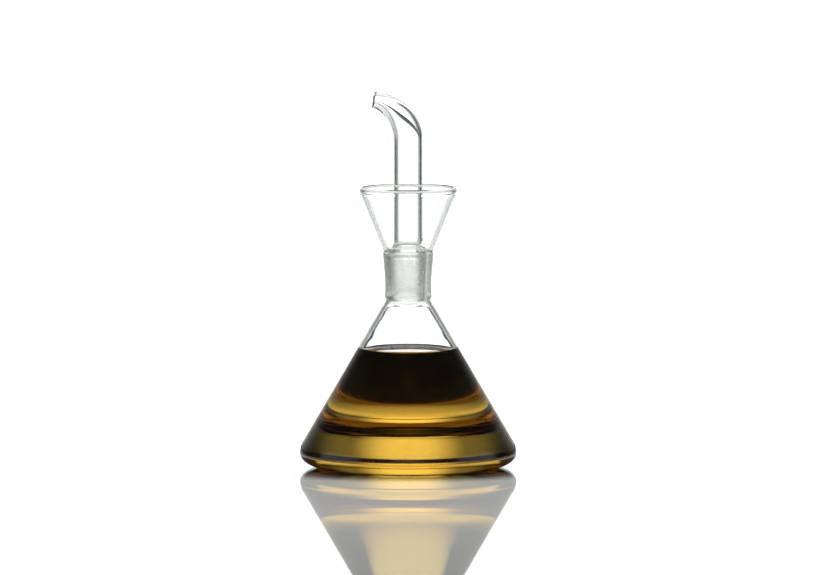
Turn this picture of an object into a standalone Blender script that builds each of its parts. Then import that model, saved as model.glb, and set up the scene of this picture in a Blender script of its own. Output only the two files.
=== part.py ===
"""A drip-return oil cruet: a conical glass flask with a ground socket and a drip funnel, a lift-out stopper
with a bent pouring spout and an air flute down one side of its ground plug, and the oil in the flask.

Frame: metres, +Z up along the flask's axis, origin at the centre of its base. The spout points to -X and the
flute is on the +X side. Sizes below are in millimetres.
"""

import math

import bmesh
import bpy

MM = 0.001
SEAM_GAP = 0.3            # clearance left between two solids that meet

# Flask body: a cone of about 30 degrees on a rounded heel
BASE_RADIUS = 54.6        # widest circle
HEEL_WIDTH = 12.0         # from the edge of the flat bottom out to the widest circle
HEEL_HEIGHT = 7.4         # of the widest circle
HEEL_SHOULDER = 10.5      # the roll above the widest circle is an ellipse of this half height
CONE_HALF_ANGLE = math.radians(30.3)
BODY_WALL = 1.5
BODY_FLOOR = 2.0
BODY_TOP = 83.5           # the cone runs straight up to the neck

# Ground joint: a 1 in 10 taper on the diameter
JOINT_TAPER = 0.05        # change of radius per millimetre of height
JOINT_TOP = 108.2
JOINT_TOP_RADIUS = 10.9
JOINT_CLEARANCE = 0.3     # radial, between plug and socket
SOCKET_WAIST = 11.6
SOCKET_WAIST_HEIGHT = 90.0
SOCKET_SHOULDER = 11.9    # rounded foot of the socket
SOCKET_TOP_RADIUS = 12.75
SOCKET_EDGE = 0.8

# Drip funnel
FUNNEL_FOOT_RADIUS = 12.4
FUNNEL_SLOPE = 0.388      # gain of radius per millimetre of height
FUNNEL_WALL = 1.5         # measured level
FUNNEL_TOP = 140.8
RIM_BEAD = 0.95           # radius of the fire-polished rim

# Stopper plug
PLUG_BOTTOM = 84.0
PLUG_SHOULDER = 110.1     # top of the ground cone
PLUG_WALL = 1.6
PLUG_TOP = 116.0
PLUG_EDGE = 0.6           # chamfer round the plug's lower end
PLUG_FLARE = ((10.45, 110.5), (9.9, 110.9), (9.0, 111.5), (8.2, 112.3), (7.65, 113.5))
PLUG_FLARE_INSIDE = ((6.1, 113.2), (6.5, 111.7), (7.3, 110.0), (8.4, 107.8))
FLUTE_RADIUS = 5.7        # from the axis to the flat bed of the flute
FLUTE_WALL = 1.35
FLUTE_FLAT = math.radians(20)     # the bed is flat out to this angle, and its sides end at the next
FLUTE_EDGE = math.radians(38)
FLUTE_FLAT_INSIDE = math.radians(16)
FLUTE_EDGE_INSIDE = math.radians(44)
FLUTE_END = 110.0         # the flute runs out between these two heights
FLUTE_RUNOUT = 115.0

# Pouring spout
TUBE_RADIUS = 7.4
TUBE_BORE = 6.1
BEND_START = 164.0
BEND_LIFT = 12.2          # length of the bend's first handle
TIP = (-17.8, 185.0)      # centre of the mouth, in X and Z
TIP_PULL = 9.0            # length of the bend's last handle
TIP_RISE = math.radians(11)
TIP_RADIUS = 4.3
NARROWING = 1.25          # above 1, the tube keeps its width further into the bend
TIP_BORE = 1.6
TIP_BORE_DROP = 0.35      # the tip's bore sits below its middle
LIP_ROUND = 0.7

# Oil
OIL_LEVEL = 57.8

AROUND = 48               # facets round a turned piece
PLUG_AROUND = 60
CONE_STEPS = 6
SOCKET_STEPS = 5
FUNNEL_STEPS = 4
SPOUT_AROUND = 28
BEND_STEPS = 14


def smooth(t):
    """A share from 0 to 1, eased at both ends."""
    t = min(max(t, 0.0), 1.0)
    return t * t * (3 - 2 * t)


def arc(centre, radii, start_deg, end_deg, steps):
    """Points on an ellipse's arc as (radius, height), both ends included."""
    angles = [math.radians(start_deg + (end_deg - start_deg) * i / steps) for i in range(steps + 1)]
    return [(centre[0] + radii[0] * math.cos(a), centre[1] + radii[1] * math.sin(a)) for a in angles]


def turned_ring(radius, height, around=AROUND):
    """One circle of points about the Z axis."""
    angles = [2 * math.pi * i / around for i in range(around)]
    return [(radius * math.cos(a), radius * math.sin(a), height) for a in angles]


def turned(profile, around=AROUND):
    return [turned_ring(r, z, around) for r, z in profile]


def skin(name, rings, material, closed):
    """A solid whose skin runs from ring to ring. closed joins the last ring to the first, and otherwise
    flat caps shut both ends."""
    bm = bmesh.new()
    loops = [[bm.verts.new([c * MM for c in p]) for p in ring] for ring in rings]
    pairs = list(zip(loops, loops[1:]))
    if closed:
        pairs.append((loops[-1], loops[0]))
    else:
        bm.faces.new(loops[0][::-1])
        bm.faces.new(loops[-1])
    for low, high in pairs:
        count = len(low)
        for i in range(count):
            j = (i + 1) % count
            bm.faces.new((low[i], low[j], high[j], high[i]))
    bmesh.ops.recalc_face_normals(bm, faces=bm.faces)
    mesh = bpy.data.meshes.new(name)
    bm.to_mesh(mesh)
    bm.free()
    mesh.shade_smooth()
    mesh.set_sharp_from_angle(angle=math.radians(35))
    mesh.materials.append(material)
    piece = bpy.data.objects.new(name, mesh)
    bpy.context.scene.collection.objects.link(piece)
    return piece


def principled(name, colour, roughness, transmission):
    material = bpy.data.materials.new(name)
    material.use_nodes = True
    shader = material.node_tree.nodes["Principled BSDF"]
    shader.inputs["Base Color"].default_value = (*colour, 1)
    shader.inputs["Roughness"].default_value = roughness
    shader.inputs["Metallic"].default_value = 0.0
    shader.inputs["Transmission Weight"].default_value = transmission
    shader.inputs["IOR"].default_value = 1.47
    return material


# --- Flask body and oil -------------------------------------------------------------------------------

def body_shell(inset, floor, top):
    """The flask's profile as (radius, height), moved in by inset, from its flat bottom at height floor up to
    height top."""
    centre = (BASE_RADIUS - HEEL_WIDTH, HEEL_HEIGHT)
    width, shoulder = HEEL_WIDTH - inset, HEEL_SHOULDER - inset
    meets_cone = math.degrees(math.atan(shoulder / width * math.tan(CONE_HALF_ANGLE)))
    heel = arc(centre, (width, HEEL_HEIGHT - floor), -90, 0, 8)
    roll = arc(centre, (width, shoulder), 0, meets_cone, 3)
    tangent_r, tangent_z = roll[-1]
    cone = []
    for i in range(1, CONE_STEPS + 1):
        z = tangent_z + (top - tangent_z) * i / CONE_STEPS
        cone.append((tangent_r - (z - tangent_z) * math.tan(CONE_HALF_ANGLE), z))
    return heel + roll[1:] + cone


def make_flask_body(glass):
    outer = body_shell(0.0, 0.0, BODY_TOP)
    inner = body_shell(BODY_WALL, BODY_FLOOR, BODY_TOP)
    return skin("flask_body", turned(outer + inner[::-1]), glass, closed=False)


def make_oil(oil):
    profile = body_shell(BODY_WALL + SEAM_GAP, BODY_FLOOR + SEAM_GAP, OIL_LEVEL)
    return skin("oil_fill", turned(profile), oil, closed=False)


# --- Neck socket and drip funnel ----------------------------------------------------------------------

def joint_radius(height):
    """Radius of the socket's ground bore."""
    return JOINT_TOP_RADIUS + JOINT_TAPER * (height - JOINT_TOP)


def make_neck_socket(ground_glass):
    bottom = BODY_TOP + SEAM_GAP
    foot = arc((SOCKET_SHOULDER - SOCKET_EDGE, bottom + SOCKET_EDGE), (SOCKET_EDGE, SOCKET_EDGE), -90, 0, 3)
    waist = []
    for i in range(1, SOCKET_STEPS + 1):
        share = i / SOCKET_STEPS
        z = SOCKET_WAIST_HEIGHT + (JOINT_TOP - SOCKET_WAIST_HEIGHT) * share
        flare = (smooth(share) + share) / 2
        waist.append((SOCKET_WAIST + (SOCKET_TOP_RADIUS - SOCKET_WAIST) * flare, z))
    outer = foot + [(SOCKET_WAIST, SOCKET_WAIST_HEIGHT)] + waist
    bore = [(joint_radius(z), z) for z in (JOINT_TOP, (JOINT_TOP + bottom) / 2, bottom)]
    return skin("neck_socket", turned(outer + bore), ground_glass, closed=True)


def make_drip_funnel(glass):
    bottom = JOINT_TOP + SEAM_GAP
    bead_z = FUNNEL_TOP - RIM_BEAD
    rise = bead_z - RIM_BEAD - bottom
    top_r = FUNNEL_FOOT_RADIUS + FUNNEL_SLOPE * rise
    outer = []
    for i in range(FUNNEL_STEPS + 1):
        share = i / FUNNEL_STEPS
        outer.append((FUNNEL_FOOT_RADIUS + FUNNEL_SLOPE * rise * share, bottom + rise * share))
    bead = arc((top_r - RIM_BEAD / 2, bead_z), (RIM_BEAD, RIM_BEAD), -35, 215, 8)
    inner = [(r - FUNNEL_WALL, z) for r, z in outer[::-1]]
    return skin("drip_funnel", turned(outer + bead + inner), glass, closed=True)


# --- Stopper ------------------------------------------------------------------------------------------

def fluted_ring(radius, height, bed, flat, edge):
    """A circle pressed flat on its +X side, down to the distance bed from the axis. The flat reaches out to
    the angle flat, and the press ends at the angle edge."""
    points = []
    for i in range(PLUG_AROUND):
        angle = 2 * math.pi * i / PLUG_AROUND
        turn = min(angle, 2 * math.pi - angle)
        press = max(radius - bed / math.cos(min(turn, edge)), 0.0)
        r = radius - press * (1 - smooth((turn - flat) / (edge - flat)))
        points.append((r * math.cos(angle), r * math.sin(angle), height))
    return points


def flute_bed(height):
    """Radius of the flute's bed, which runs out into the tube above the shoulder."""
    share = smooth((height - FLUTE_END) / (FLUTE_RUNOUT - FLUTE_END))
    return FLUTE_RADIUS + (TUBE_RADIUS - FLUTE_RADIUS) * share


def make_stopper_plug(ground_glass):
    def ground(z):
        return joint_radius(z) - JOINT_CLEARANCE

    middle = (PLUG_BOTTOM + PLUG_SHOULDER) / 2
    outer = [(ground(PLUG_BOTTOM) - PLUG_EDGE, PLUG_BOTTOM)]
    outer += [(ground(z), z) for z in (PLUG_BOTTOM + PLUG_EDGE, middle, PLUG_SHOULDER)]
    outer += [*PLUG_FLARE, (TUBE_RADIUS, PLUG_TOP)]
    inner = [(TUBE_BORE, PLUG_TOP), *PLUG_FLARE_INSIDE]
    inner += [(ground(z) - PLUG_WALL, z) for z in (middle, PLUG_BOTTOM)]
    rings = [fluted_ring(r, z, flute_bed(z), FLUTE_FLAT, FLUTE_EDGE) for r, z in outer]
    rings += [fluted_ring(r, z, flute_bed(z) - FLUTE_WALL, FLUTE_FLAT_INSIDE, FLUTE_EDGE_INSIDE)
              for r, z in inner]
    return skin("stopper_plug", rings, ground_glass, closed=True)


def spout_centre(t):
    """Centre of the bend and its direction, both in X and Z, from t = 0 at its start to 1 at the mouth."""
    ends = [(0.0, BEND_START), (0.0, BEND_START + BEND_LIFT)]
    ends.append((TIP[0] + TIP_PULL * math.cos(TIP_RISE), TIP[1] - TIP_PULL * math.sin(TIP_RISE)))
    ends.append(TIP)
    weights = ((1 - t) ** 3, 3 * t * (1 - t) ** 2, 3 * t * t * (1 - t), t ** 3)
    slopes = (-3 * (1 - t) ** 2, 3 * (1 - t) * (1 - 3 * t), 3 * t * (2 - 3 * t), 3 * t * t)
    point = [sum(w * e[k] for w, e in zip(weights, ends)) for k in (0, 1)]
    along = [sum(s * e[k] for s, e in zip(slopes, ends)) for k in (0, 1)]
    length = math.hypot(*along)
    return point, (along[0] / length, along[1] / length)


def spout_ring(radius, t, drop=0.0, forward=0.0):
    """A circle square to the bend at t, moved down by drop and along the tube by forward."""
    (x, z), (dx, dz) = spout_centre(t)
    side = (dz, -dx)      # points to the outside of the bend
    x, z = x - side[0] * drop + dx * forward, z - side[1] * drop + dz * forward
    points = []
    for i in range(SPOUT_AROUND):
        a = 2 * math.pi * i / SPOUT_AROUND
        u = radius * math.cos(a)
        points.append((x + side[0] * u, radius * math.sin(a), z + side[1] * u))
    return points


def tube_radius(t):
    return TUBE_RADIUS - (TUBE_RADIUS - TIP_RADIUS) * smooth(t ** NARROWING)


def bore_radius(t):
    return TUBE_BORE - (TUBE_BORE - TIP_BORE) * smooth(t ** NARROWING)


def make_pouring_spout(glass):
    bottom = PLUG_TOP + SEAM_GAP
    shares = [i / BEND_STEPS for i in range(BEND_STEPS + 1)]
    start = spout_ring(TUBE_RADIUS, 0.0)
    rings = [[(x, y, bottom) for x, y, _ in start]]
    rings += [spout_ring(tube_radius(t), t) for t in shares[:-1]]
    rings.append(spout_ring(TIP_RADIUS, 1.0, forward=-LIP_ROUND))
    rings.append(spout_ring(TIP_RADIUS - 0.3 * LIP_ROUND, 1.0, forward=-0.3 * LIP_ROUND))
    rings.append(spout_ring(TIP_RADIUS - LIP_ROUND, 1.0))
    rings.append(spout_ring(TIP_BORE + 0.4 * LIP_ROUND, 1.0, drop=TIP_BORE_DROP))
    rings += [spout_ring(bore_radius(t), t, drop=TIP_BORE_DROP * t) for t in shares[-2::-1]]
    start = spout_ring(TUBE_BORE, 0.0)
    rings.append([(x, y, bottom) for x, y, _ in start])
    return skin("pouring_spout", rings, glass, closed=True)


def main():
    for item in list(bpy.data.objects):
        bpy.data.objects.remove(item)
    clear = principled("clear_glass", (0.93, 0.97, 0.95), 0.02, 1.0)
    ground = principled("ground_glass", (0.86, 0.88, 0.85), 0.45, 0.9)
    oil = principled("olive_oil", (0.80, 0.58, 0.12), 0.03, 0.85)
    flask = bpy.data.objects.new("flask", None)
    stopper = bpy.data.objects.new("stopper", None)
    for empty in (flask, stopper):
        bpy.context.scene.collection.objects.link(empty)
    for piece in (make_flask_body(clear), make_neck_socket(ground), make_drip_funnel(clear), make_oil(oil)):
        piece.parent = flask
    for piece in (make_stopper_plug(ground), make_pouring_spout(clear)):
        piece.parent = stopper


main()
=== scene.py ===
"""Looks of the drip-return oil cruet: blown and drawn glass, ground joint surfaces and the oil inside, in a
bright studio. The object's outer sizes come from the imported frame. The object's lengths are in millimetres
until a mesh is made, and the studio's are in metres.
"""

import math

import bpy
import numpy as np
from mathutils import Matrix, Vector


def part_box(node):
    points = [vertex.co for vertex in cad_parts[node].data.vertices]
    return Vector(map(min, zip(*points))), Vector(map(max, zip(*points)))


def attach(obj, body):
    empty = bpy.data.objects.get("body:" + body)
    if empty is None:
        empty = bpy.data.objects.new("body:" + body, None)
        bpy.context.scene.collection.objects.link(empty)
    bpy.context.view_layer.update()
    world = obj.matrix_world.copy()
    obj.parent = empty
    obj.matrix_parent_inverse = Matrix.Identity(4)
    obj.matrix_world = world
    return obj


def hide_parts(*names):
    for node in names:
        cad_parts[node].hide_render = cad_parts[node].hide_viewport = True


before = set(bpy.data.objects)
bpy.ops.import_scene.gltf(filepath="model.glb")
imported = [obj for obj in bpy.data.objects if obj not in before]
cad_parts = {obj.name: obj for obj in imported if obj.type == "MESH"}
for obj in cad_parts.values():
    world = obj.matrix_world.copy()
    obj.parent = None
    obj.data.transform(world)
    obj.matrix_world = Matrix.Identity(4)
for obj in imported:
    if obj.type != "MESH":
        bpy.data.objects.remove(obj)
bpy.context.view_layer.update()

MM = 0.001

GLASS_IOR = 1.474
OIL_IOR = 1.47
MATCHED_IOR = 1.0005                          # where glass and oil touch, a little under their true ratio
# colour and density
GLASS_ABSORPTION = ((0.76, 0.80, 0.79), 70.0)
OIL_ABSORPTION = ((0.88, 0.69, 0.01), 32.0)


def low(node):
    """A node's lowest corner, in millimetres."""
    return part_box(node)[0] / MM


def high(node):
    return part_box(node)[1] / MM


# --- Driving dimensions, from the frame ---------------------------------------------------------------

BASE_RADIUS = high("flask_body").x
HEEL_WIDTH = 12.0                             # from the flat's edge out to the widest circle
HEEL_HEIGHT = 7.4                             # of the widest circle
HEEL_SHOULDER = 10.5                          # half height of the ellipse above the widest circle
CONE_ANGLE = math.radians(30.3)
WALL = 1.5
FLOOR_THICKNESS = 2.0
PUSH_UP = 0.45                                # the bottom's rise at its middle
PUSH_UP_MARGIN = 4.0                          # from the rise's edge out to the heel
PUSH_UP_STEPS = 48
THROAT_RADIUS = 11.25
NECK_BEND = 81.8                              # where the cone starts to turn up into the neck

SOCKET_FOOT = low("neck_socket").z
SOCKET_TOP = high("neck_socket").z
SOCKET_TOP_RADIUS = high("neck_socket").x
SOCKET_WAIST = 11.6
SOCKET_BULGE = 11.9
JOINT_TOP_RADIUS = 10.9
JOINT_TAPER = 0.05                            # of the radius, so 1 in 10 on the diameter
JOINT_CLEARANCE = 0.12                        # radial, between the two ground surfaces
PLUG_GROUND_TOP = 108.9                       # the plug is polished above this height

FUNNEL_TOP = high("drip_funnel").z
FUNNEL_RADIUS = high("drip_funnel").x
FUNNEL_FOOT_RADIUS = 12.35
FUNNEL_WALL = 1.1
RIM_BEAD = 1.0                                # half width of the thickened rim
RIM_BEAD_RISE = 1.55                          # and half height
WALL_PAST_BEAD = 0.2                          # from the bead's middle out to the funnel's outer face
FUNNEL_SLANT = 1.08                           # about the slanting wall's level width over its thickness

OIL_ABOVE_CAD = 0.4                           # from the top of the CAD oil up to the level surface here
OIL_LEVEL = high("oil_fill").z + OIL_ABOVE_CAD
OIL_OVERLAP = 0.5                             # how far the oil's skin sits inside the glass it wets
MENISCUS_HEIGHT = 1.5
MENISCUS_WIDTH = 1.9
MENISCUS_STEPS = 24
SURFACE_STEPS = 8
OIL_CONTACT = OIL_LEVEL + MENISCUS_HEIGHT     # the glass is wetted up to here

PLUG_BOTTOM = low("stopper_plug").z
PLUG_SHOULDER = 110.1
PLUG_WALL = 1.6
PLUG_EDGE = 0.6                               # rounding of the lower edge
SHOULDER_EDGE = 0.45
FLARE_END = 113.0                             # the tube is straight above this height
BORE_FLARE_TOP = 111.4                        # the bore widens from here down
BORE_FLARE_FOOT = 105.5
FLUTE_RADIUS = 5.7
FLUTE_WALL = 1.35
FLUTE_FLAT = math.radians(20)                 # the bed is flat out to here, and its sides end at the next
FLUTE_EDGE = math.radians(38)
FLUTE_FLAT_INSIDE = math.radians(16)
FLUTE_EDGE_INSIDE = math.radians(44)
FLUTE_END = 110.0
FLUTE_RUNOUT = 115.0

TUBE_RADIUS = high("pouring_spout").x
TUBE_BORE = TUBE_RADIUS - 1.45
BEND_START = 164.0
BEND_LIFT = 12.2
TIP = (-17.8, 185.0)
TIP_PULL = 9.0
TIP_RISE = math.radians(11)
TIP_RADIUS = 4.3
TIP_BORE = 1.6
TIP_BORE_DROP = 0.35
NARROWING = 1.25                              # above 1, the tube keeps its width further into the bend
LIP_ROUND = 1.1
BEND_STEPS = 48

AROUND = 192                                  # points round every ring


# --- Outlines -----------------------------------------------------------------------------------------

def line(start, end, step=0.8):
    """Points from start to end, without start."""
    count = max(1, round(math.dist(start, end) / step))
    return [tuple(a + (b - a) * i / count for a, b in zip(start, end)) for i in range(1, count + 1)]


def arc(centre, radii, start_deg, end_deg, step_deg=6):
    """Points on an ellipse's arc as (radius, height), without the first."""
    count = max(2, round(abs(end_deg - start_deg) / step_deg))
    angles = [math.radians(start_deg + (end_deg - start_deg) * i / count) for i in range(1, count + 1)]
    return [(centre[0] + radii[0] * math.cos(a), centre[1] + radii[1] * math.sin(a)) for a in angles]


def bezier(a, b, c, d, steps):
    """Points on a cubic curve from a to d, without a."""
    points = []
    for i in range(1, steps + 1):
        t = i / steps
        w = ((1 - t) ** 3, 3 * t * (1 - t) ** 2, 3 * t * t * (1 - t), t ** 3)
        points.append(tuple(sum(k * p[n] for k, p in zip(w, (a, b, c, d))) for n in (0, 1)))
    return points


def smooth(t):
    """0 up to t = 0, easing to 1 at t = 1."""
    t = min(max(t, 0.0), 1.0)
    return t * t * (3 - 2 * t)


def joint_radius(z):
    """The socket's ground bore."""
    return JOINT_TOP_RADIUS + JOINT_TAPER * (z - SOCKET_TOP)


def heel_meets_cone(inset):
    """Angle on the heel's upper ellipse where the cone leaves it."""
    return math.atan((HEEL_SHOULDER - inset) / (HEEL_WIDTH - inset) * math.tan(CONE_ANGLE))


def cone_radius(z, inset=0.0):
    """Radius of the flask's cone at a height, or of a cone inside it."""
    angle = heel_meets_cone(inset)
    r = BASE_RADIUS - HEEL_WIDTH + (HEEL_WIDTH - inset) * math.cos(angle)
    return r - (z - HEEL_HEIGHT - (HEEL_SHOULDER - inset) * math.sin(angle)) * math.tan(CONE_ANGLE)


def heel(inset, floor):
    """The bottom from the axis out, the rounded heel and the start of the cone."""
    centre = (BASE_RADIUS - HEEL_WIDTH, HEEL_HEIGHT)
    rise_edge = centre[0] - PUSH_UP_MARGIN
    points = [(0.0, floor + PUSH_UP)]
    for i in range(1, PUSH_UP_STEPS + 1):
        share = i / PUSH_UP_STEPS
        points.append((rise_edge * share, floor + PUSH_UP * (1 - smooth(share ** 1.5))))
    points += line(points[-1], (centre[0], floor), 0.7)
    points += arc(centre, (HEEL_WIDTH - inset, HEEL_HEIGHT - floor), -90, 0, 4)
    meets = math.degrees(heel_meets_cone(inset))
    points += arc(centre, (HEEL_WIDTH - inset, HEEL_SHOULDER - inset), 0, meets, 4)
    return points


def flask_outside():
    """From the middle of the bottom up to the inner side of the rim bead."""
    points = heel(0.0, 0.0)
    points += line(points[-1], (cone_radius(NECK_BEND), NECK_BEND))
    throat = (THROAT_RADIUS, SOCKET_FOOT + 0.2)
    bulge = (SOCKET_BULGE, SOCKET_FOOT + 2.0)
    points += bezier(points[-1], (cone_radius(NECK_BEND + 1.4), NECK_BEND + 1.4),
                     (THROAT_RADIUS, throat[1] - 0.9), throat, 12)
    # rounded foot of the collar, then its waist and flare
    points += bezier(throat, (THROAT_RADIUS, throat[1] + 0.5), (SOCKET_BULGE, bulge[1] - 0.9), bulge, 10)
    waist = (SOCKET_WAIST, SOCKET_FOOT + 6.2)
    points += bezier(points[-1], (SOCKET_BULGE, bulge[1] + 1.2), (SOCKET_WAIST, waist[1] - 2.0), waist, 8)
    top = (SOCKET_TOP_RADIUS, SOCKET_TOP - 0.7)
    points += bezier(waist, (SOCKET_WAIST, waist[1] + 6), (SOCKET_TOP_RADIUS - 0.35, top[1] - 6), top, 24)
    foot = (FUNNEL_FOOT_RADIUS, SOCKET_TOP + 0.45)
    points += bezier(top, (SOCKET_TOP_RADIUS, top[1] + 0.5),
                     (FUNNEL_FOOT_RADIUS + 0.1, foot[1] - 0.5), foot, 7)
    bead = (FUNNEL_RADIUS - RIM_BEAD, FUNNEL_TOP - RIM_BEAD_RISE)
    points += line(foot, (bead[0] + WALL_PAST_BEAD, bead[1] - RIM_BEAD_RISE * 1.15))
    points += arc(bead, (RIM_BEAD, RIM_BEAD_RISE), -55, 225, 10)
    return points


def flask_inside():
    """From the rim bead back down to the middle of the bottom."""
    rim = flask_outside()[-1]
    throat = (joint_radius(SOCKET_TOP), SOCKET_TOP)
    inner_foot = (FUNNEL_FOOT_RADIUS - FUNNEL_WALL + 0.25, SOCKET_TOP + 1.0)
    outer_edge = FUNNEL_RADIUS - RIM_BEAD + WALL_PAST_BEAD
    under_bead = (outer_edge - FUNNEL_WALL * FUNNEL_SLANT, FUNNEL_TOP - 2.2 * RIM_BEAD_RISE)
    points = line(rim, under_bead, 0.4) + line(under_bead, inner_foot)
    points += bezier(inner_foot, (inner_foot[0] - 0.15, inner_foot[1] - 0.4),
                     (throat[0], throat[1] + 0.4), throat, 5)
    points += line(throat, (joint_radius(SOCKET_FOOT), SOCKET_FOOT), 0.5)
    low_bend = (cone_radius(NECK_BEND - 1.2, WALL), NECK_BEND - 1.2)
    points += bezier(points[-1], (joint_radius(SOCKET_FOOT), SOCKET_FOOT - 0.9),
                     (cone_radius(NECK_BEND + 0.1, WALL), NECK_BEND + 0.1), low_bend, 12)
    bottom = heel(WALL, FLOOR_THICKNESS)[::-1]
    contact = (cone_radius(OIL_CONTACT, WALL), OIL_CONTACT)
    points += line(low_bend, contact) + line(contact, bottom[0])
    return points + bottom[1:]


# --- Meshes -------------------------------------------------------------------------------------------

def ripple(z, phi, seed):
    """Unevenness of spun glass, about -1 to 1: mostly rings, which drift a little round the axis."""
    total = 0.0
    for k, (length, weight) in enumerate(((31.0, 0.5), (13.0, 0.3), (7.1, 0.16), (4.3, 0.07))):
        turn = math.sin(phi * (1 + k % 2) + seed * 1.7 + k)
        total += weight * math.sin(2 * math.pi * z / length + seed + 2.3 * k + 0.7 * turn)
    return total


def turned(profile, offset=None):
    """Rings of points about the Z axis. offset(index, r, z, phi) moves a point outwards."""
    rings = []
    for index, (r, z) in enumerate(profile):
        if r < 1e-6:
            rings.append([(0.0, 0.0, z)])
            continue
        ring = []
        for i in range(AROUND):
            phi = 2 * math.pi * i / AROUND
            reach = r + (offset(index, r, z, phi) if offset else 0.0)
            ring.append((reach * math.cos(phi), reach * math.sin(phi), z))
        rings.append(ring)
    return rings


def skin(name, rings, material, closed=False, ground=None, wet=None):
    """A closed mesh through the rings. A ring of one point is a pole. ground gives each ring's share of
    ground surface. wet is 1 for the strip after a ring where glass and oil touch. Both are kept as mesh
    attributes."""
    verts, starts = [], []
    for ring in rings:
        starts.append(len(verts))
        verts += ring
    faces, wetted = [], []
    pairs = list(zip(range(len(rings)), range(1, len(rings))))
    if closed:
        pairs.append((len(rings) - 1, 0))
    for a, b in pairs:
        n, m = len(rings[a]), len(rings[b])
        for i in range(max(n, m)):
            j = (i + 1) % max(n, m)
            if n == 1:
                faces.append((starts[a], starts[b] + j, starts[b] + i))
            elif m == 1:
                faces.append((starts[a] + i, starts[a] + j, starts[b]))
            else:
                faces.append((starts[a] + i, starts[a] + j, starts[b] + j, starts[b] + i))
            wetted.append(wet[a] if wet else 0.0)
    mesh = bpy.data.meshes.new(name)
    mesh.from_pydata([tuple(c * MM for c in v) for v in verts], [], faces)
    mesh.shade_smooth()
    mesh.materials.append(material)
    mesh.attributes.new("wet", "FLOAT", "FACE").data.foreach_set("value", wetted)
    shares = mesh.attributes.new("ground", "FLOAT", "POINT")
    values = np.zeros(len(verts), np.float32)
    for ring, start, share in zip(rings, starts, ground or []):
        values[start:start + len(ring)] = share
    shares.data.foreach_set("value", values)
    piece = bpy.data.objects.new(name, mesh)
    bpy.context.scene.collection.objects.link(piece)
    return piece


def volume(piece):
    """Signed volume of a closed mesh."""
    total = 0.0
    mesh = piece.data
    mesh.calc_loop_triangles()
    for tri in mesh.loop_triangles:
        a, b, c = (mesh.vertices[i].co for i in tri.vertices)
        total += a.dot(b.cross(c)) / 6
    return total


def face_outwards(piece):
    if volume(piece) < 0:
        piece.data.flip_normals()
    return piece


def in_joint(r, z):
    """1 on the ground bore of the socket, 0 elsewhere."""
    inside = abs(r - joint_radius(z)) < 0.05 and SOCKET_FOOT - 0.1 <= z <= SOCKET_TOP - 0.1
    return 1.0 if inside else 0.0


RIPPLE_OUTSIDE = 0.03                         # how far the blown surfaces stray from true
RIPPLE_INSIDE = 0.018
RIPPLE_BOTTOM = 0.05
EVEN_RADIUS = 20                              # within this the surfaces grow truer


def unevenness_share(r, z):
    """1 on the blown body, less near the axis and on the narrow neck and the funnel."""
    return min(r / EVEN_RADIUS, 1) * (1 - 0.8 * smooth((z - OIL_CONTACT - 15) / 10))


def make_flask(glass):
    outside, inside = flask_outside(), flask_inside()
    profile = outside + inside

    def unevenness(index, r, z, phi):
        if index < len(outside):
            return RIPPLE_OUTSIDE * unevenness_share(r, z) * ripple(z + r * 0.3, phi, 0.4)
        if in_joint(r, z):
            return 0.0
        dry = smooth((z - OIL_CONTACT - 0.5) / 3)
        return RIPPLE_INSIDE * dry * unevenness_share(r, z) * ripple(z + r * 0.4, phi, 2.0)

    ground = [0.0] * len(outside) + [in_joint(r, z) for r, z in inside]
    wet = [0.0] * len(outside) + [1.0 if z <= OIL_CONTACT + 0.001 else 0.0 for r, z in inside]
    rings = turned(profile, unevenness)
    # the bottom's rings move up and down, since moving them sideways changes nothing there
    flat = BASE_RADIUS - HEEL_WIDTH
    for index, (ring, (r, z)) in enumerate(zip(rings, profile)):
        if index < len(outside) and z < PUSH_UP + 0.1 and r < flat and len(ring) > 1:
            lift = RIPPLE_BOTTOM * smooth((flat - r) / 8)
            for i, (x, y, height) in enumerate(ring):
                phi = 2 * math.pi * i / len(ring)
                ring[i] = (x, y, height + lift * (ripple(r * 0.8, phi, 3.0) * 0.5 + 0.5))
    return face_outwards(skin("flask_glass", rings, glass, ground=ground, wet=wet))


def make_oil(oil):
    """The oil, whose skin sits inside the wetted glass, with a meniscus up the wall."""
    inset = WALL - OIL_OVERLAP
    bottom = heel(inset, FLOOR_THICKNESS - OIL_OVERLAP)
    profile = bottom + line(bottom[-1], (cone_radius(OIL_CONTACT, inset), OIL_CONTACT))
    wall = cone_radius(OIL_CONTACT, WALL)
    wet = [1.0] * len(profile)
    for i in range(MENISCUS_STEPS + 1):
        depth = 5.0 * MENISCUS_WIDTH * (i / MENISCUS_STEPS) ** 1.8
        climb = MENISCUS_HEIGHT * math.exp(-depth / MENISCUS_WIDTH * 1.3)
        profile.append((wall - depth, OIL_LEVEL + climb))
    level_radius = profile[-1][0]
    for i in range(1, SURFACE_STEPS):
        profile.append((level_radius * (1 - i / SURFACE_STEPS), OIL_LEVEL))
    profile.append((0.0, OIL_LEVEL))
    wet += [0.0] * (len(profile) - len(wet))
    return face_outwards(skin("oil_body", turned(profile), oil, wet=wet))


def fluted_ring(radius, height, bed, flat, edge):
    """A circle pressed flat on its +X side, down to the distance bed from the axis. The flat reaches out to
    the angle flat, and the press ends at the angle edge."""
    points = []
    for i in range(AROUND):
        angle = 2 * math.pi * i / AROUND
        turn = min(angle, 2 * math.pi - angle)
        press = max(radius - bed / math.cos(min(turn, edge)), 0.0)
        r = radius - press * (1 - smooth((turn - flat) / (edge - flat)))
        points.append((r * math.cos(angle), r * math.sin(angle), height))
    return points


def flute_bed(height):
    """The flute's depth, as a distance from the axis, which runs out on the tube."""
    share = smooth((height - FLUTE_END) / (FLUTE_RUNOUT - FLUTE_END))
    return FLUTE_RADIUS + (TUBE_RADIUS - FLUTE_RADIUS) * share


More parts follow.
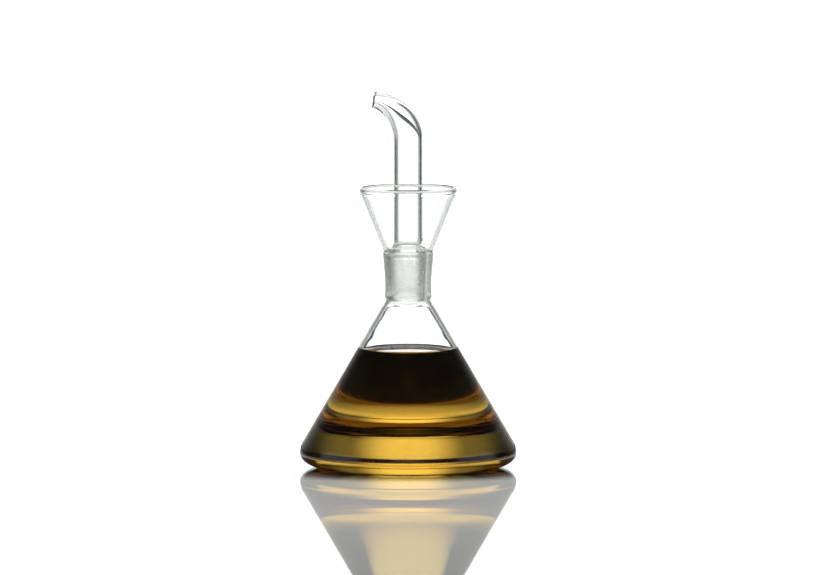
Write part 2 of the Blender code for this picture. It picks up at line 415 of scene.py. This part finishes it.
def spout_centre(t):
    """Point and direction on the bend's middle line, as (x, z). t is 0 at its start and 1 at the mouth."""
    ends = [(0.0, BEND_START), (0.0, BEND_START + BEND_LIFT)]
    ends.append((TIP[0] + TIP_PULL * math.cos(TIP_RISE), TIP[1] - TIP_PULL * math.sin(TIP_RISE)))
    ends.append(TIP)
    weights = ((1 - t) ** 3, 3 * t * (1 - t) ** 2, 3 * t * t * (1 - t), t ** 3)
    slopes = (-3 * (1 - t) ** 2, 3 * (1 - t) * (1 - 3 * t), 3 * t * (2 - 3 * t), 3 * t * t)
    point = [sum(w * e[k] for w, e in zip(weights, ends)) for k in (0, 1)]
    along = [sum(s * e[k] for s, e in zip(slopes, ends)) for k in (0, 1)]
    length = math.hypot(*along)
    return point, (along[0] / length, along[1] / length)


def spout_ring(radius, t, drop=0.0, forward=0.0):
    """A ring across the bend, moved off its middle line by drop and along it by forward."""
    (x, z), (dx, dz) = spout_centre(t)
    side = (dz, -dx)
    x, z = x - side[0] * drop + dx * forward, z - side[1] * drop + dz * forward
    points = []
    for i in range(AROUND):
        a = 2 * math.pi * i / AROUND
        u = radius * math.cos(a)
        points.append((x + side[0] * u, radius * math.sin(a), z + side[1] * u))
    return points


def tube_radius(t):
    return TUBE_RADIUS - (TUBE_RADIUS - TIP_RADIUS) * smooth(t ** NARROWING)


def bore_radius(t):
    return TUBE_BORE - (TUBE_BORE - TIP_BORE) * smooth(t ** NARROWING)


def ground_cone(z):
    """The plug's ground outer radius."""
    return joint_radius(z) - JOINT_CLEARANCE


def stopper_outside():
    """From the plug's lower edge up to the start of the bend."""
    lower = (ground_cone(PLUG_BOTTOM) - PLUG_EDGE, PLUG_BOTTOM + PLUG_EDGE)
    points = arc(lower, (PLUG_EDGE, PLUG_EDGE), -90, 0, 18)
    points += line(points[-1], (ground_cone(PLUG_SHOULDER), PLUG_SHOULDER), 0.5)
    points += arc((points[-1][0] - SHOULDER_EDGE, PLUG_SHOULDER), (SHOULDER_EDGE, SHOULDER_EDGE), 0, 70, 20)
    points += bezier(points[-1], (8.9, 110.7), (7.6, 110.8), (TUBE_RADIUS, FLARE_END), 20)
    return points + line(points[-1], (TUBE_RADIUS, BEND_START), 1.2)


def stopper_inside():
    """From the start of the bend down to the plug's open lower end."""
    points = [(TUBE_BORE, BEND_START)] + line((TUBE_BORE, BEND_START), (TUBE_BORE, BORE_FLARE_TOP), 1.2)
    throat = (ground_cone(BORE_FLARE_FOOT) - PLUG_WALL, BORE_FLARE_FOOT)
    points += bezier(points[-1], (TUBE_BORE, 110.0), (7.4, 108.8), throat, 16)
    return points + line(throat, (ground_cone(PLUG_BOTTOM) - PLUG_WALL, PLUG_BOTTOM + 0.4), 0.8)


def mouth_rings():
    """The rounded lip, from the outside round to the bore."""
    middle = (TIP_RADIUS + TIP_BORE) / 2
    half = (TIP_RADIUS - TIP_BORE) / 2
    rings = []
    for degrees in range(0, 181, 18):
        c, s = math.cos(math.radians(degrees)), math.sin(math.radians(degrees))
        rings.append(spout_ring(middle + half * c, 1.0, drop=TIP_BORE_DROP * (1 - c) / 2,
                                forward=LIP_ROUND * (s - 1)))
    return rings


def make_stopper(glass):
    """The plug and its pouring tube, as one closed skin: up the outside, over the lip and down the bore."""
    outside = stopper_outside()
    ground = [1.0 if abs(r - ground_cone(z)) < 0.05 and z < PLUG_GROUND_TOP else 0.0 for r, z in outside]
    bend = [i / BEND_STEPS for i in range(1, BEND_STEPS)]
    rings = [fluted_ring(r, z, flute_bed(z), FLUTE_FLAT, FLUTE_EDGE) for r, z in outside]
    rings += [spout_ring(tube_radius(t), t) for t in bend]
    rings += mouth_rings()
    rings += [spout_ring(bore_radius(t), t, drop=TIP_BORE_DROP * t) for t in bend[::-1]]
    rings += [fluted_ring(r, z, flute_bed(z) - FLUTE_WALL, FLUTE_FLAT_INSIDE, FLUTE_EDGE_INSIDE)
              for r, z in stopper_inside()]
    ground += [0.0] * (len(rings) - len(ground))
    return face_outwards(skin("stopper_glass", rings, glass, closed=True, ground=ground))


# --- Materials ----------------------------------------------------------------------------------------

class Nodes:
    """A short way to build a node tree."""

    def __init__(self, tree):
        self.tree = tree

    def add(self, kind, **values):
        node = self.tree.nodes.new(kind)
        for key, value in values.items():
            if hasattr(node, key) and key not in node.inputs:
                setattr(node, key, value)
            else:
                node.inputs[key].default_value = value
        return node

    def link(self, source, target):
        self.tree.links.new(source, target)
        return target

    def math(self, operation, a, b=None, c=None):
        node = self.add("ShaderNodeMath", operation=operation)
        for socket, value in zip(node.inputs, (a, b, c)):
            if value is None:
                continue
            if isinstance(value, (int, float)):
                socket.default_value = value
            else:
                self.link(value, socket)
        return node.outputs[0]


def new_material(name):
    material = bpy.data.materials.new(name)
    material.use_nodes = True
    material.node_tree.nodes.clear()
    n = Nodes(material.node_tree)
    shader = n.add("ShaderNodeBsdfPrincipled")
    output = n.add("ShaderNodeOutputMaterial")
    n.link(shader.outputs[0], output.inputs["Surface"])
    return material, n, shader, output


def absorb(n, output, colour, density):
    volume_node = n.add("ShaderNodeVolumeAbsorption", Color=(*colour, 1), Density=density)
    n.link(volume_node.outputs[0], output.inputs["Volume"])


def clear(shader, ior):
    """A clear medium."""
    shader.inputs["Base Color"].default_value = (1, 1, 1, 1)
    shader.inputs["Roughness"].default_value = 0.0
    shader.inputs["IOR"].default_value = ior
    shader.inputs["Transmission Weight"].default_value = 1.0


def match_where_wet(n, shader, ior):
    """Where glass and oil touch, their indices match and light goes straight on."""
    wet = n.add("ShaderNodeAttribute", attribute_name="wet").outputs["Fac"]
    n.link(n.math("MULTIPLY_ADD", wet, MATCHED_IOR - ior, ior), shader.inputs["IOR"])


def glass_material(name):
    """Clear glass, frosted where the mesh says that it is ground."""
    material, n, shader, output = new_material(name)
    clear(shader, GLASS_IOR)
    absorb(n, output, *GLASS_ABSORPTION)
    place = n.add("ShaderNodeTexCoord").outputs["Object"]
    ground = n.add("ShaderNodeAttribute", attribute_name="ground").outputs["Fac"]
    # fine rings left by the grinding tool
    rings = n.add("ShaderNodeMapping", Scale=(60, 60, 2600))
    n.link(place, rings.inputs["Vector"])
    cut = n.add("ShaderNodeTexNoise", Scale=1.0, Detail=3.0, Roughness=0.65)
    n.link(rings.outputs[0], cut.inputs["Vector"])
    frost = n.add("ShaderNodeTexNoise", Scale=260.0, Detail=2.0)
    n.link(place, frost.inputs["Vector"])
    rough = n.math("MULTIPLY_ADD", frost.outputs["Fac"], 0.12, 0.22)
    n.link(n.math("MULTIPLY", rough, ground), shader.inputs["Roughness"])
    # slow waves of fire-polished glass, and the tool's rings where it is ground
    waves = n.add("ShaderNodeTexNoise", Scale=45.0, Detail=1.0)
    n.link(place, waves.inputs["Vector"])
    ground_cut = n.math("MULTIPLY", cut.outputs["Fac"], ground)
    height = n.math("MULTIPLY_ADD", ground_cut, 0.5, waves.outputs["Fac"])
    bump = n.add("ShaderNodeBump", Strength=0.25, Distance=0.0002)
    n.link(height, bump.inputs["Height"])
    n.link(bump.outputs[0], shader.inputs["Normal"])
    return material, n, shader


def flask_material():
    material, n, shader = glass_material("cruet_glass")
    match_where_wet(n, shader, GLASS_IOR)
    return material


def oil_material():
    """The golden oil, with slow swirls on its surface."""
    material, n, shader, output = new_material("cruet_oil")
    clear(shader, OIL_IOR)
    match_where_wet(n, shader, OIL_IOR)
    absorb(n, output, *OIL_ABSORPTION)
    place = n.add("ShaderNodeTexCoord").outputs["Object"]
    swirl = n.add("ShaderNodeTexNoise", Scale=40.0, Detail=1.0)
    n.link(place, swirl.inputs["Vector"])
    bump = n.add("ShaderNodeBump", Strength=0.08, Distance=0.0003)
    n.link(swirl.outputs["Fac"], bump.inputs["Height"])
    n.link(bump.outputs[0], shader.inputs["Normal"])
    return material


# --- Studio -------------------------------------------------------------------------------------------

FLOOR_WHITE = (0.78, 0.79, 0.78)
SHADE_INSIDE = 0.058                          # the floor is dark from the axis out to here
SHADE_OUTSIDE = 0.085                         # and plain again from here
SHADE_DEPTH = 0.90                            # share of the floor's white that is lost there
GLOSS_AT_GRAZING = 3.75                       # held to the next where it would be more
GLOSS_MOST = 0.97
GLOSS_FALL = 16.0
FLOOR_RADIUS = 40.0
FLOOR_DROP = 0.0001                           # below the object, so that the faces don't meet
# a near-black disc under the flask's flat: painted shade standing in for the flask's shadow on the floor
UNDER_BASE_SHADE_DROP = 0.00005
UNDER_BASE_SHADE_BLACK = (0.008, 0.009, 0.008, 1)


def band(n, value, full, none):
    """1 up to full, easing to 0 at none."""
    node = n.add("ShaderNodeMapRange", interpolation_type="SMOOTHSTEP")
    for name, number in (("From Min", full), ("From Max", none), ("To Min", 1.0), ("To Max", 0.0)):
        node.inputs[name].default_value = number
    n.link(value, node.inputs["Value"])
    return node.outputs[0]


def floor_material():
    """A pale floor, glossy at grazing angles, painted dark near the base as a soft contact shade."""
    material = bpy.data.materials.new("studio_floor")
    material.use_nodes = True
    material.node_tree.nodes.clear()
    n = Nodes(material.node_tree)
    place = n.add("ShaderNodeTexCoord").outputs["Object"]
    length = n.add("ShaderNodeVectorMath", operation="LENGTH")
    n.link(place, length.inputs[0])
    fade = band(n, length.outputs["Value"], SHADE_INSIDE, SHADE_OUTSIDE)
    keep = n.math("SUBTRACT", 1.0, n.math("MULTIPLY", fade, SHADE_DEPTH))
    colour = n.add("ShaderNodeVectorMath", operation="SCALE")
    colour.inputs[0].default_value = FLOOR_WHITE
    n.link(keep, colour.inputs["Scale"])
    pale = n.add("ShaderNodeBsdfDiffuse")
    n.link(colour.outputs[0], pale.inputs["Color"])
    gloss = n.add("ShaderNodeBsdfAnisotropic", Color=(0.90, 0.97, 0.95, 1), Roughness=0.02)
    facing = n.add("ShaderNodeLayerWeight", Blend=0.5).outputs["Facing"]
    share = n.math("MULTIPLY", n.math("POWER", facing, GLOSS_FALL), GLOSS_AT_GRAZING)
    mix = n.add("ShaderNodeMixShader")
    n.link(n.math("MINIMUM", share, GLOSS_MOST), mix.inputs[0])
    n.link(pale.outputs[0], mix.inputs[1])
    n.link(gloss.outputs[0], mix.inputs[2])
    output = n.add("ShaderNodeOutputMaterial")
    n.link(mix.outputs[0], output.inputs["Surface"])
    return material


def disc(name, radius, z, material):
    mesh = bpy.data.meshes.new(name)
    around = 96
    verts = [(radius * math.cos(2 * math.pi * i / around), radius * math.sin(2 * math.pi * i / around), z)
             for i in range(around)]
    mesh.from_pydata(verts, [], [tuple(range(around))])
    mesh.materials.append(material)
    piece = bpy.data.objects.new(name, mesh)
    bpy.context.scene.collection.objects.link(piece)
    return piece


def make_stage():
    """The floor, and a near-black disc of painted shade under the flask's flat, where the floor lies in the
    flask's shadow.
    """
    floor = disc("studio_floor", FLOOR_RADIUS, -FLOOR_DROP, floor_material())
    painted_shade_material, _, shader, _ = new_material("shade_under_base")
    shader.inputs["Base Color"].default_value = UNDER_BASE_SHADE_BLACK
    shader.inputs["Roughness"].default_value = 0.6
    shade_pad = disc("shade_under_base", (BASE_RADIUS - HEEL_WIDTH - 1.0) * MM, -UNDER_BASE_SHADE_DROP, painted_shade_material)


SWEEP_RADIANCE = 1.85
SWEEP_SKIRT = 0.15                            # radiance share of the sweep's dimmer sides
SWEEP_OVERHEAD = 1.4                          # and of the part overhead
SWEEP_OPPOSITE = 0.2                          # radiance share of the reflector opposite the sweep
SWEEP_COLOUR = (1.0, 0.985, 0.95)
AMBIENT = (0.042, 0.052, 0.052, 1)
# azimuth of the middle, half widths where full and none, climb where full and none, all in degrees, and
# radiance
SIDE_PANEL = (100, 14, 34, 14, 34, 0.75)
OVERHEAD_SIZE = 0.3
OVERHEAD_HEIGHT = 0.65
OVERHEAD_POWER = 4.2


def make_world():
    """A bright sweep behind the object that curves overhead, dark gaps beside it, which draw the outlines
    of clear glass, a panel at each side, and a dim reflector opposite the sweep."""
    world = bpy.data.worlds.new("studio")
    bpy.context.scene.world = world
    world.use_nodes = True
    world.node_tree.nodes.clear()
    n = Nodes(world.node_tree)
    direction = n.add("ShaderNodeTexCoord").outputs["Generated"]
    split = n.add("ShaderNodeSeparateXYZ")
    n.link(direction, split.inputs[0])
    x, y, z = split.outputs
    rad = math.radians
    upward = n.math("ABSOLUTE", z)
    climb = n.math("ARCSINE", upward)
    azimuth = n.math("ABSOLUTE", n.math("ARCTAN2", x, y))       # 0 behind the object, pi at the camera
    aside = n.math("ABSOLUTE", n.math("ARCSINE", x))            # angle off the sweep's middle plane
    along = n.math("ARCTAN2", upward, y)                        # 0 at the back, pi / 2 overhead
    wide = n.math("MULTIPLY", band(n, aside, rad(20), rad(48)), SWEEP_SKIRT)
    across = n.math("MULTIPLY_ADD", band(n, aside, rad(4), rad(22)), 1.0 - SWEEP_SKIRT, wide)
    behind = band(n, along, rad(95), rad(120))
    behind = n.math("MULTIPLY_ADD", behind, 1.0 - SWEEP_OPPOSITE, SWEEP_OPPOSITE)
    backdrop = n.math("MULTIPLY", n.math("MULTIPLY", across, behind), band(n, climb, rad(22), rad(48)))
    overhead = n.math("SUBTRACT", band(n, along, rad(78), rad(100)), band(n, along, rad(28), rad(50)))
    canopy = n.math("MULTIPLY", band(n, aside, rad(9), rad(24)), overhead)
    sweep = n.math("MAXIMUM", backdrop, n.math("MULTIPLY", canopy, SWEEP_OVERHEAD))
    horizon = n.math("SUBTRACT", 1.0, band(n, climb, rad(0.8), rad(1.8)))
    sweep = n.math("MULTIPLY", n.math("MULTIPLY", sweep, horizon), SWEEP_RADIANCE)
    light = n.add("ShaderNodeBackground", Color=(*SWEEP_COLOUR, 1))
    n.link(sweep, light.inputs["Strength"])
    centre, full, none, climb_full, climb_none, radiance = SIDE_PANEL
    off = n.math("ABSOLUTE", n.math("SUBTRACT", azimuth, rad(centre)))
    panel = band(n, off, rad(full), rad(none))
    panel = n.math("MULTIPLY", panel, band(n, climb, rad(climb_full), rad(climb_none)))
    side = n.add("ShaderNodeBackground", Color=(1, 1, 1, 1))
    n.link(n.math("MULTIPLY", panel, radiance), side.inputs["Strength"])
    ambient = n.add("ShaderNodeBackground", Color=AMBIENT, Strength=1.0)
    total = ambient.outputs[0]
    for source in (light, side):
        both = n.add("ShaderNodeAddShader")
        n.link(total, both.inputs[0])
        n.link(source.outputs[0], both.inputs[1])
        total = both.outputs[0]
    output = n.add("ShaderNodeOutputWorld")
    n.link(total, output.inputs["Surface"])


def make_overhead_light():
    """A soft light over the object, kept out of reflections and out of what shows through glass."""
    data = bpy.data.lights.new("overhead", "AREA")
    data.shape = "DISK"
    data.size = OVERHEAD_SIZE
    data.energy = OVERHEAD_POWER
    light = bpy.data.objects.new("overhead", data)
    light.location = (0.0, 0.0, OVERHEAD_HEIGHT)
    light.visible_camera = False
    light.visible_glossy = False
    light.visible_transmission = False
    bpy.context.scene.collection.objects.link(light)


CAMERA_DISTANCE = 5.98
CAMERA_RISE = math.radians(4.9)
CAMERA_TARGET = Vector((0.00216, 0.0, 0.0903))


def make_camera():
    data = bpy.data.cameras.new("camera")
    data.sensor_width = 36
    data.lens = 520
    data.clip_start = 0.5
    data.clip_end = 100
    camera = bpy.data.objects.new("camera", data)
    back = Vector((0, -math.cos(CAMERA_RISE), math.sin(CAMERA_RISE)))
    camera.location = CAMERA_TARGET + back * CAMERA_DISTANCE
    camera.rotation_euler = (-back).to_track_quat("-Z", "Y").to_euler()
    bpy.context.scene.collection.objects.link(camera)
    bpy.context.scene.camera = camera


def set_light_paths():
    scene = bpy.context.scene
    scene.view_settings.view_transform = "Standard"
    scene.cycles.max_bounces = 40
    scene.cycles.transmission_bounces = 40
    scene.cycles.glossy_bounces = 24
    scene.cycles.diffuse_bounces = 3


def main():
    make_camera()
    make_world()
    make_overhead_light()
    make_stage()
    set_light_paths()
    flask = make_flask(flask_material())
    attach(flask, "flask")
    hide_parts("flask_body", "neck_socket", "drip_funnel")
    oil = make_oil(oil_material())
    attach(oil, "flask")
    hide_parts("oil_fill")
    stopper = make_stopper(glass_material("stopper_glass")[0])
    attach(stopper, "stopper")
    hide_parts("stopper_plug", "pouring_spout")


main()
